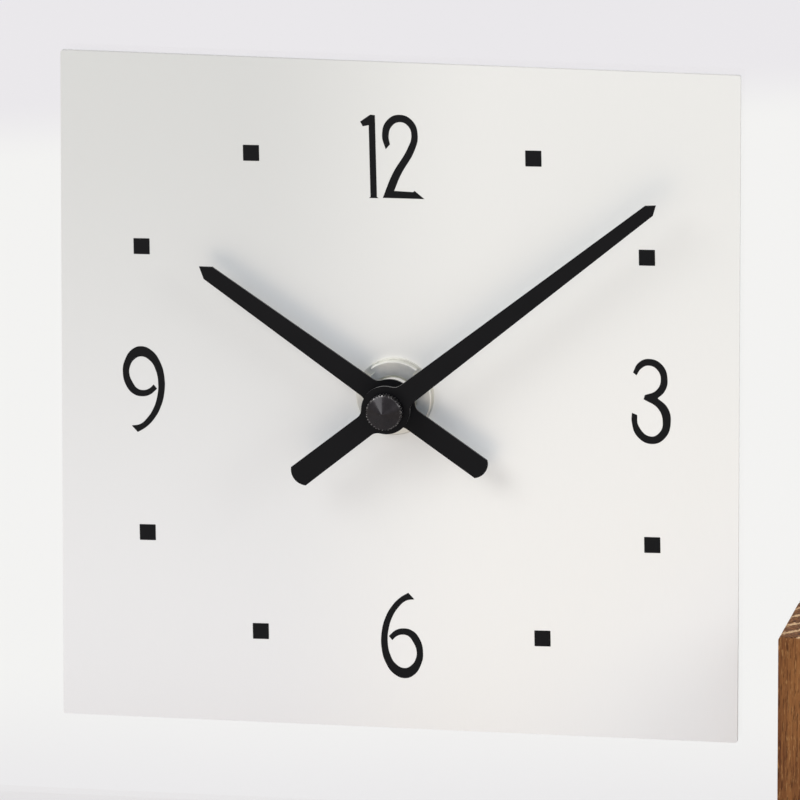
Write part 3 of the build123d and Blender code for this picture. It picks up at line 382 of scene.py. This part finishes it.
def satin_plate(place):
    centred = from_point(place, plate_middle)
    sideways = dot(centred, (1, 0, 0))
    upwards = dot(centred, (0, 0, 1))
    cloud = noise(stretched(place, 1, 1, 0.5), scale=9, detail=2.0)
    right = smooth(sideways + 0.015 * (cloud - 0.5), -0.038, 0.024)
    height = upwards + 0.02 * (cloud - 0.5)
    # Painted shade and light on each side: darker towards the top, lighter towards the bottom.
    left_painted_shading = blend(smooth(height, -0.095, 0.085), colour(247, 244, 240), colour(221, 219, 212))
    right_painted_shading = blend(smooth(height, -0.08, 0.08), colour(255, 251, 243), colour(242, 239, 231))
    brushed = noise(stretched(place, 1, 1, 0.04), scale=5200, detail=3.0)
    # Painted light at the lower right corner.
    low_right_painted_light = smooth(sideways - upwards, 0.085, 0.155)
    tone = blend(right, left_painted_shading, right_painted_shading)
    tone = blend(low_right_painted_light, tone, colour(255, 253, 249))
    return {
        "Base Color": blend(0.10 * brushed, tone, colour(220, 220, 216)),
        "Roughness": 0.385 + 0.06 * brushed,
        "Normal": relief(brushed, depth=0.000004),
    }


dress(material("satin_aluminium", {"Metallic": 0.42}, satin_plate), "dial_plate")

# Print: plain numerals at twelve, three, six and nine, and a small square at each hour
# between them, screen printed in black on the plate. The screen sat a degree askew, so the
# whole print is turned about its middle.
ink_depth = 0.00005
print_turn = math.radians(1.09)
print_x, print_z = -0.01165, 0.1333

# A figure's place is in millimetres from the print's middle, and its outline in millimetres
# from its own. A point marked "c" is a corner, and one marked "s" is smooth.
numeral_places = {"12": (0.1, 57.3), "3": (60.0, 0.0), "6": (0.2, -57.8), "9": (-59.8, 0.2)}
one = [
    ("c", -7.4, 8.2), ("c", -5.0, 9.9), ("c", -3.9, 9.8), ("c", -3.8, -9.7),
    ("c", -3.4, -10.0), ("c", -5.6, -10.0), ("c", -5.3, -9.7), ("c", -5.4, 7.4),
    ("c", -6.8, 7.1),
]
two = [
    ("c", -1.5, 1.7), ("s", -2.3, 5.0), ("s", -1.1, 8.6), ("s", 1.9, 10.0),
    ("s", 5.0, 8.5), ("s", 6.1, 5.0), ("s", 5.3, 1.6), ("s", 1.9, -4.4),
    ("c", 0.3, -8.2), ("c", 4.8, -8.4), ("c", 5.1, -8.1), ("c", 7.4, -10.0),
    ("c", -2.4, -9.9), ("s", 0.0, -4.1), ("s", 3.7, 2.1), ("s", 4.6, 5.0),
    ("s", 3.9, 7.3), ("s", 1.9, 8.25), ("s", 0.0, 7.2), ("s", -0.75, 5.0), ("c", -0.5, 2.9),
]
three = [
    ("c", -4.1, 6.9), ("s", -2.8, 9.2), ("s", -0.3, 10.2), ("s", 2.8, 8.8),
    ("s", 4.0, 5.3), ("s", 3.3, 2.5), ("c", 1.6, 0.8), ("s", 3.9, -1.4),
    ("s", 4.6, -4.8), ("s", 3.2, -8.7), ("s", 0.1, -10.2), ("s", -3.3, -8.5),
    ("s", -4.6, -4.8), ("c", -4.5, -2.8), ("c", -3.3, -3.3), ("s", -3.0, -5.9),
    ("s", -0.2, -8.4), ("s", 2.0, -7.3), ("s", 2.7, -4.6), ("s", 1.6, -1.6),
    ("c", -1.7, 0.5), ("c", -1.4, 1.5), ("s", 1.3, 2.7), ("s", 2.4, 5.1),
    ("s", 1.6, 7.65), ("s", -0.4, 8.6), ("s", -2.1, 7.9), ("c", -3.3, 6.2),
]
six = [
    ("c", 1.7, 10.35), ("c", 3.1, 8.8), ("s", 1.1, 8.4), ("s", -0.6, 6.9),
    ("s", -2.1, 4.6), ("s", -3.1, 1.6), ("s", -3.4, -1.5), ("s", -2.9, -4.6),
    ("s", -1.6, -6.9), ("s", 0.5, -7.9), ("s", 2.2, -7.1), ("s", 3.2, -5.5),
    ("s", 3.4, -3.6), ("s", 2.6, -1.5), ("s", 1.6, -0.2), ("s", 0.2, 0.2),
    ("s", -1.2, -0.2), ("c", -2.3, -1.2), ("c", -3.1, -0.2), ("s", -1.3, 1.3),
    ("s", 0.5, 1.7), ("s", 2.3, 1.3), ("s", 4.0, -0.4), ("s", 4.95, -4.2),
    ("s", 4.3, -7.2), ("s", 2.7, -9.5), ("s", 0.5, -10.35), ("s", -2.0, -9.4),
    ("s", -4.0, -6.6), ("s", -4.9, -3.0), ("s", -4.8, 0.7), ("s", -3.9, 4.1),
    ("s", -2.3, 7.0), ("s", -0.3, 9.1),
]
nine = [(bend, -across, -up) for bend, across, up in six]
millimetre = 0.001
weld_gap = 0.000002
marker_side = 0.0038
marker_round = 0.00012
marker_places = {
    "1": (33.3, 57.5), "2": (59.6, 34.4), "4": (59.8, -34.5), "5": (33.5, -57.7),
    "7": (-33.3, -57.6), "8": (-59.7, -34.3), "10": (-59.6, 34.6), "11": (-33.2, 57.5),
}


def dial_ink(place):
    screen = noise(place, scale=3000, detail=2.0)
    return {
        "Base Color": blend(screen, colour(12, 12, 13), colour(20, 20, 21)),
        "Roughness": 0.42 + 0.14 * screen,
        "Normal": relief(screen, depth=0.000006),
    }


def on_dial(made, across, up):
    """Lays a flat piece, made about the origin on the XY plane, on the plate's face."""
    face = Matrix.Rotation(math.radians(90), 4, "X")
    middle = Matrix.Translation((across * millimetre, 0, up * millimetre))
    askew = Matrix.Rotation(-print_turn, 4, "Y")
    centre = Matrix.Translation((print_x, plate_low.y - ink_depth / 2, print_z))
    made.data.transform(centre @ askew @ middle @ face)
    made.data.update()


ink_finish = material("dial_ink", {"Specular IOR Level": 0.12}, dial_ink)
figures = {"12": (one, two), "3": (three,), "6": (six,), "9": (nine,)}
for figure, outlines in figures.items():
    drawn = bpy.data.curves.new("numeral_" + figure, "CURVE")
    drawn.dimensions = "2D"
    drawn.fill_mode = "BOTH"
    drawn.resolution_u = 8
    drawn.extrude = ink_depth / 2
    for outline in outlines:
        line = drawn.splines.new("BEZIER")
        line.bezier_points.add(len(outline) - 1)
        line.use_cyclic_u = True
        for knot, (bend, across, up) in zip(line.bezier_points, outline):
            knot.co = (across * millimetre, up * millimetre, 0)
            knot.handle_left_type = "VECTOR" if bend == "c" else "AUTO"
            knot.handle_right_type = knot.handle_left_type
    numeral = bpy.data.objects.new("numeral_" + figure, drawn)
    bpy.context.scene.collection.objects.link(numeral)
    only(numeral)
    bpy.ops.object.convert(target="MESH")
    numeral = bpy.context.object
    bpy.ops.object.mode_set(mode="EDIT")
    bpy.ops.mesh.select_all(action="SELECT")
    bpy.ops.mesh.remove_doubles(threshold=weld_gap)
    bpy.ops.mesh.normals_make_consistent(inside=False)
    bpy.ops.object.mode_set(mode="OBJECT")
    on_dial(numeral, *numeral_places[figure])
    numeral.data.materials.append(ink_finish)
    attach(numeral, "stand")

first_marker = started("first_marker", bpy.ops.mesh.primitive_cube_add, size=1)
bpy.ops.transform.resize(value=(marker_side, marker_side, ink_depth))
pick("EDGE", upright)
bpy.ops.mesh.bevel(offset=marker_round, segments=3, affect="EDGES")
bpy.ops.object.mode_set(mode="OBJECT")
for hour, (across, up) in marker_places.items():
    marker = bpy.data.objects.new("hour_marker_" + hour, first_marker.data.copy())
    bpy.context.scene.collection.objects.link(marker)
    on_dial(marker, across, up)
    marker.data.materials.append(ink_finish)
    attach(marker, "stand")
bpy.data.objects.remove(first_marker)

# Dial pads: four discs of white closed-cell foam with glue on both faces, pressed between
# the dial and the glass, so that their cut sides swell a little. A thin film of air is left
# between them and the glass.
pad_low, pad_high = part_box("dial_pads")
pad_radius = 0.006
pad_across = (pad_high.x - pad_low.x) / 2 - pad_radius
pad_up = (pad_high.z - pad_low.z) / 2 - pad_radius
pad_gap = 0.00005
pad_high.y -= pad_gap
pad_depth = pad_high.y - pad_low.y
pad_swell = 0.00012
pad_layers = 4


def foam(place):
    cells = place.node("TexVoronoi", inputs={"Vector": place, "Scale": 3600.0})
    return {
        "Base Color": blend(smooth(cells, 0.1, 0.7), colour(196, 195, 190), colour(228, 227, 222)),
        "Roughness": 0.72 + 0.2 * cells,
        "Normal": relief(cells, depth=0.00006),
    }


pads = []
for side, end in corners:
    middle = (pad_low + pad_high) / 2
    middle.x += side * pad_across
    middle.z += end * pad_up
    pad = started(
        "foam_pad",
        bpy.ops.mesh.primitive_cylinder_add,
        vertices=64,
        radius=pad_radius - pad_swell,
        depth=pad_depth,
        location=middle,
        rotation=(math.radians(90), 0, 0),
    )
    pick("EDGE", lambda edge: abs(edge.verts[0].co.y - edge.verts[1].co.y) > pad_depth / 2)
    bpy.ops.mesh.subdivide(number_cuts=pad_layers)
    bpy.ops.object.mode_set(mode="OBJECT")
    for point in pad.data.vertices:
        height = (point.co.y - pad_low.y) / pad_depth
        swell = 1 + 4 * height * (1 - height) * pad_swell / pad_radius
        point.co.x = middle.x + (point.co.x - middle.x) * swell
        point.co.z = middle.z + (point.co.z - middle.z) * swell
    pads.append(pad)
foam_pads = joined(pads, "foam_pads")
foam_finish = material("white_foam", {"Specular IOR Level": 0.3}, foam)
foam_pads.data.materials.append(foam_finish)
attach(foam_pads, "stand")
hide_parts("dial_pads")

# Neck, washer and nut: turned brass, nickel plated. They clamp the dial, the glass and the
# works together. The tool has left fine rings about the hands' axis.
hands_middle = Vector((-0.0119, 0.0, 0.1333))


def length(vector):
    """How long a vector is."""
    return vector.node("VectorMath", {"operation": "LENGTH"}, {0: vector}, "Value")


def from_hands(place):
    """How far a point is from the hands' axis."""
    return length(stretched(from_point(place, hands_middle), 1, 0, 1))


def turned(tone_low, tone_high, rough, ring_pitch):
    """Metal turned on a lathe about the hands' axis."""

    def pattern(place):
        rings = from_hands(place) / ring_pitch
        groove = rings.maths("PINGPONG", rings, 1.0)
        wear = noise(place, scale=700, detail=3.0)
        return {
            "Base Color": blend(wear, tone_low, tone_high),
            "Roughness": rough + 0.14 * wear + 0.04 * groove,
            "Normal": relief(groove + wear, depth=0.000006),
        }

    return pattern


nickel = turned(colour(210, 210, 202), colour(233, 233, 226), rough=0.32, ring_pitch=0.00016)
nickel_finish = material("nickel_plate", {"Metallic": 0.95}, nickel)
dress(nickel_finish, "threaded_neck", "dial_washer", "dial_nut")

# Rubber washer: a soft black ring between the glass and the case. Its matt moulded skin has
# a faint grey bloom.


def rubber(place):
    bloom = noise(place, scale=260, detail=4.0)
    return {
        "Base Color": blend(bloom, colour(22, 22, 23), colour(44, 43, 43)),
        "Roughness": 0.66 + 0.2 * bloom,
        "Normal": relief(noise(place, scale=3000, detail=2.0), depth=0.00003),
    }


dress(material("black_rubber", {"Specular IOR Level": 0.35}, rubber), "rubber_washer")

# Works' case: an open box with a battery bay and a screwed cover, both moulded in black
# plastic with a fine spark-eroded grain. The two plates inside are of the same plastic.


def moulded(tone_low, tone_high, rough, grain_scale, grain_depth):
    """Plastic or resin with a fine grain."""

    def pattern(place):
        grain = noise(place, scale=grain_scale, detail=3.0, roughness=0.6)
        flow = noise(place, scale=60, detail=2.0)
        return {
            "Base Color": blend(0.6 * flow + 0.4 * grain, tone_low, tone_high),
            "Roughness": rough + 0.16 * grain,
            "Normal": relief(grain, depth=grain_depth),
        }

    return pattern


black_case = moulded(
    colour(26, 26, 28), colour(44, 44, 47), rough=0.42, grain_scale=2600, grain_depth=0.00005
)
case_finish = material("black_plastic", {"Specular IOR Level": 0.4}, black_case)
dress(case_finish, "front_case", "back_cover", "middle_plate", "rear_bridge")

# Screws, crystal can and clutch ring: small zinc-plated steel parts. The coil's core and the
# stator are rolled soft iron, and the battery's springs are nickel-plated strip.


def lined_metal(tone_low, tone_high, rough, scale, stretch):
    """Sheet or wire metal with lines along one way."""

    def pattern(place):
        lines = noise(stretched(place, *stretch), scale=scale, detail=3.0)
        stain = noise(place, scale=240, detail=3.0)
        return {
            "Base Color": blend(stain, tone_low, tone_high),
            "Roughness": rough + 0.16 * lines,
            "Normal": relief(lines, depth=0.00001),
        }

    return pattern


metal = {"Metallic": 1.0}
zinc = lined_metal(
    colour(176, 178, 182), colour(208, 209, 210), rough=0.26, scale=2400, stretch=(1, 1, 0.2)
)
zinc_finish = material("zinc_plated_steel", metal, zinc)
dress(zinc_finish, "cover_screws", "bridge_screws", "quartz_crystal", "clutch_ring")
iron = lined_metal(
    colour(136, 136, 138), colour(174, 174, 176), rough=0.34, scale=2600, stretch=(1, 1, 0.08)
)
dress(material("rolled_iron", metal, iron), "coil_core", "stator")
strip = lined_metal(
    colour(198, 195, 186), colour(224, 221, 212), rough=0.22, scale=2600, stretch=(1, 0.1, 1)
)
dress(material("contact_strip", metal, strip), "positive_contact", "negative_contact")

# Circuit board: green coated laminate with thin copper tracks under the coating, and the
# chip under a drop of black resin.


def laminate(place):
    upright_board = {"Vector": place, "Rotation": (math.radians(-90), 0, 0)}
    board_place = place.node("Mapping", inputs=upright_board)
    lines = {"Scale": 320.0, "Mortar Size": 0.06, "Mortar Smooth": 0.3}
    tracks = place.node("TexBrick", None, {"Vector": board_place, **lines}, "Fac")
    weave = noise(place, scale=2600, detail=2.0)
    board = blend(weave, colour(18, 84, 46), colour(30, 108, 62))
    return {
        "Base Color": blend(0.7 * tracks, board, colour(74, 142, 84)),
        "Roughness": 0.3 + 0.12 * weave,
        "Normal": relief(tracks + 0.2 * weave, depth=0.00003),
    }


dress(material("green_laminate", {"Coat Weight": 0.3}, laminate), "circuit_board")
resin = moulded(
    colour(10, 10, 11), colour(24, 24, 26), rough=0.16, grain_scale=420, grain_depth=0.00004
)
dress(material("black_resin", {"Specular IOR Level": 0.5}, resin), "driver_chip")

# Coil: a white bobbin wound with thin enamelled copper wire, turn beside turn. The bobbin is
# of the same white acetal as the wheels.
wire_pitch = 0.00016


def winding(place):
    along = dot(place, (1, 0, 0)) / wire_pitch
    turn = 2 * along.maths("PINGPONG", along, 0.5)
    layer = noise(stretched(place, 0.4, 1, 1), scale=420, detail=2.0)
    return {
        "Base Color": blend(0.6 * turn + 0.4 * layer, colour(112, 48, 24), colour(206, 116, 70)),
        "Roughness": 0.22 + 0.16 * layer,
        "Normal": relief(turn, depth=0.00005),
    }


dress(material("enamelled_wire", {"Metallic": 0.85}, winding), "coil_winding")
white = moulded(
    colour(214, 212, 203), colour(232, 230, 222), rough=0.32, grain_scale=1900, grain_depth=0.00002
)
white_finish = material("white_acetal", {"Specular IOR Level": 0.45}, white)
dress(white_finish, "coil_bobbin")

# Battery: one AA cell, a steel can in a plain printed sleeve. The sleeve has a gold band at
# the positive end and leaves the metal ends bare.
cell_low, cell_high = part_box("battery_cell")
cell_middle = (cell_low + cell_high) / 2
button_length = 0.0013
bare_radius, sleeve_radius = 0.00625, 0.00650
band_length, band_soft = 0.0125, 0.0002


def cell(place):
    centred = from_point(place, cell_middle)
    along = dot(centred, (1, 0, 0))
    sleeve = smooth(length(stretched(centred, 0, 1, 1)), bare_radius, sleeve_radius)
    band_start = (cell_high.x - cell_low.x) / 2 - button_length - band_length
    band = smooth(along, band_start, band_start + band_soft)
    fleck = noise(place, scale=900, detail=3.0)
    printed = blend(band, colour(30, 42, 74), colour(186, 140, 66))
    bare = blend(fleck, colour(176, 174, 168), colour(214, 212, 206))
    return {
        "Base Color": blend(sleeve, bare, printed),
        "Metallic": 1.0 - 0.55 * sleeve,
        "Roughness": 0.24 + 0.10 * fleck,
    }


dress(material("plain_cell_sleeve", {"Coat Weight": 0.3}, cell), "battery_cell")

# Wheels: the motion work, the train from the rotor to the centre wheel, and the setting
# arbor, all moulded in white acetal. The minute arbor is turned brass, the rotor a magnet.
dress(white_finish, "hour_wheel", "minute_wheel", "setting_arbor", "rotor_pinion", "step_wheel")
dress(white_finish, "seconds_wheel", "third_wheel", "centre_wheel")
brass = turned(colour(190, 150, 84), colour(222, 186, 116), rough=0.22, ring_pitch=0.0002)
dress(material("turned_brass", metal, brass), "minute_arbor")
ferrite = lined_metal(
    colour(70, 70, 74), colour(104, 104, 108), rough=0.38, scale=1800, stretch=(1, 1, 1)
)
dress(material("ground_ferrite", {"Metallic": 0.8}, ferrite), "rotor_magnet")

# Setting knob: a fluted black wheel at the back of the case, turned by hand to set the time.
# Its plastic is a little smoother than that of the case.
knob = moulded(
    colour(30, 30, 33), colour(52, 52, 56), rough=0.34, grain_scale=2200, grain_depth=0.00003
)
dress(material("knob_plastic", {"Specular IOR Level": 0.45}, knob), "setting_knob")

# Hands and cap nut: stamped aluminium and turned brass, finished in satin black. The backs of
# the hands keep their blue-grey primer, which tints what the dial mirrors of them. The knurl
# and the cone of the cap are polished a little brighter. The rims of the hands are lighter,
# partly bare cut edge and partly painted highlight, and the knurl has worn bare patches that are
# also a painted glint.


def black_lacquer(place):
    skin = noise(place, scale=1800, detail=3.0)
    cloud = noise(place, scale=80, detail=2.0)
    # The sides of the hands are painted lighter and half metal: partly bare cut edge, partly a
    # painted highlight.
    edge = sides(place, 0.3, 0.8)
    face = blend(cloud, colour(13, 13, 14), colour(20, 19, 20))
    back = smooth(dot(facing(place), (0, 1, 0)), 0.3, 0.8)
    tone = blend(back, face, colour(130, 143, 163))
    return {
        "Base Color": blend(0.45 * edge, tone, colour(128, 126, 124)),
        "Metallic": 0.5 * edge,
        "Roughness": 0.40 + 0.12 * skin - 0.1 * edge,
        "Normal": relief(skin, depth=0.000008),
    }


lacquer_finish = material("satin_black", {"Specular IOR Level": 0.1}, black_lacquer)
dress(lacquer_finish, "hour_hand", "minute_hand")
cone_radius, knurl_radius = 0.0037, 0.0042


def cap_black(place):
    skin = noise(place, scale=900, detail=3.0)
    knurl = smooth(from_hands(place), cone_radius, knurl_radius)
    # Worn bare metal round the knurl, painted lighter so that it also stands for the rim's glints.
    worn_and_glint = knurl * smooth(noise(place, scale=2400, detail=2.0), 0.44, 0.66)
    polished = blend(skin, colour(14, 13, 14), colour(40, 36, 38))
    return {
        "Base Color": blend(0.6 * worn_and_glint, polished, colour(176, 172, 168)),
        "Roughness": 0.20 + 0.2 * skin,
        "Normal": relief(skin, depth=0.00001),
    }


gloss = {"Metallic": 0.6, "Coat Weight": 0.2, "Specular IOR Level": 0.3}
dress(material("polished_black", gloss, cap_black), "cap_nut")

# Room: a pale table top that runs back under the clock to a slightly darker wall. Camera,
# metal and glass see it glow in its colours, with a painted shade from a little behind the clock
# forward and a painted warm reflection in front where metal mirrors it. All other light falls on a
# matt surface.
floor_half = 3.0
table_colour = colour(250, 248, 247)
wall_colour = colour(240, 236, 240)
near_painted_shade = colour(240, 237, 239)
warm_painted_reflection = colour(250, 239, 229)
matt_colour = colour(235, 235, 236)
shown_share = 0.93
wall_way = (-0.425, 1.0, 0.0)
wall_from, wall_to = 0.86, 0.95
near_to, near_from = 0.10, 0.24
front_to, front_from = -0.25, 0.0


def emptied(holder):
    """Clears the node tree of a material or a world, as the start of a new one."""
    holder.use_nodes = True
    holder.node_tree.nodes.clear()
    return Wire(holder.node_tree)


def ray(root, kind):
    """1 for rays of one kind, and 0 for all others."""
    return root.node("LightPath", output="Is " + kind + " Ray")


def seen_share(root):
    """1 for rays from the camera, from metal and through glass."""
    kinds = ray(root, "Camera") + ray(root, "Glossy") + ray(root, "Transmission")
    return kinds.maths("MINIMUM", kinds, 1.0)


def show(root, kind, share, first, second):
    """Gives a node tree its output, a mix of two shaders."""
    mixed = root.node("MixShader", inputs={0: share, 1: first, 2: second})
    output = root.tree.nodes.new("ShaderNodeOutput" + kind)
    root.tree.links.new(mixed.socket, output.inputs["Surface"])


bpy.ops.object.select_all(action="DESELECT")
bpy.ops.mesh.primitive_plane_add(size=2 * floor_half)
table = bpy.context.object
table.name = "table_top"
table_finish = bpy.data.materials.new("table_top")
root = emptied(table_finish)
place = root.node("TexCoord", output="Object")
seen = blend(smooth(dot(place, wall_way), wall_from, wall_to), table_colour, wall_colour)
away = dot(place, (0, 1, 0))
# Painted shade: the table is darker from a little behind the clock forward.
seen = blend(1 - smooth(away, near_to, near_from), seen, near_painted_shade)
mirrored = ray(root, "Glossy") * (1 - ray(root, "Transmission"))
# Painted reflection: metal mirrors a warmer table in front of the clock.
seen = blend(mirrored * (1 - smooth(away, front_to, front_from)), seen, warm_painted_reflection)
glow = root.node("Emission", inputs={"Color": seen, "Strength": 1.0})
matt = root.node("BsdfDiffuse", inputs={"Color": matt_colour})
show(root, "Material", seen_share(root) * shown_share, matt, glow)
table.data.materials.append(table_finish)

# Light: an even pale sky, a large soft lamp at the upper left in front, and a narrower one at
# the right. All of them lean a little to blue, so the hands' soft shadows come out cool.
sky_colour = colour(226, 239, 255)
sky_strength = 0.66
world = bpy.data.worlds.new("room")
bpy.context.scene.world = world
root = emptied(world)
light = root.node("Background", inputs={"Color": sky_colour, "Strength": sky_strength})
shown = root.node("Background", inputs={"Color": wall_colour, "Strength": 1.0})
show(root, "World", seen_share(root), light, shown)


def lamp(name, place, aim, size, power, tint):
    """A soft lamp that shines on one point."""
    light = bpy.data.lights.new(name, "AREA")
    light.shape = "RECTANGLE"
    light.size, light.size_y = size
    light.energy = power
    light.color = tint
    holder = bpy.data.objects.new(name, light)
    holder.location = place
    holder.rotation_euler = (Vector(aim) - Vector(place)).to_track_quat("-Z", "Y").to_euler()
    bpy.context.scene.collection.objects.link(holder)


dial_point = (-0.011, 0.0, 0.13)
lamp(
    "key_lamp", place=(-0.9, -1.3, 1.1), aim=dial_point, size=(1.0, 0.8), power=13,
    tint=(0.96, 0.98, 1.0),
)
lamp(
    "fill_lamp", place=(1.3, -0.8, 0.8), aim=dial_point, size=(0.5, 0.9), power=6,
    tint=(0.94, 0.97, 1.0),
)

# Camera: far back with a long lens, a little to the right of the dial and above it, as in
# the photograph.
camera_turn = math.radians(9.5)
camera_rise = math.radians(14.32)
camera_distance = 4.0
sensor_width, focal_length = 36, 772.2
camera_aim = Vector((-0.01081, 0.0025, 0.13231))
camera_way = Vector((
    math.sin(camera_turn) * math.cos(camera_rise),
    -math.cos(camera_turn) * math.cos(camera_rise),
    math.sin(camera_rise),
))
lens = bpy.data.cameras.new("camera")
lens.sensor_width = sensor_width
lens.lens = focal_length
camera = bpy.data.objects.new("camera", lens)
camera.location = camera_aim + camera_way * camera_distance
camera.rotation_euler = (-camera_way).to_track_quat("-Z", "Y").to_euler()
bpy.context.scene.collection.objects.link(camera)
bpy.context.scene.camera = camera
bpy.context.scene.view_settings.view_transform = "Standard"
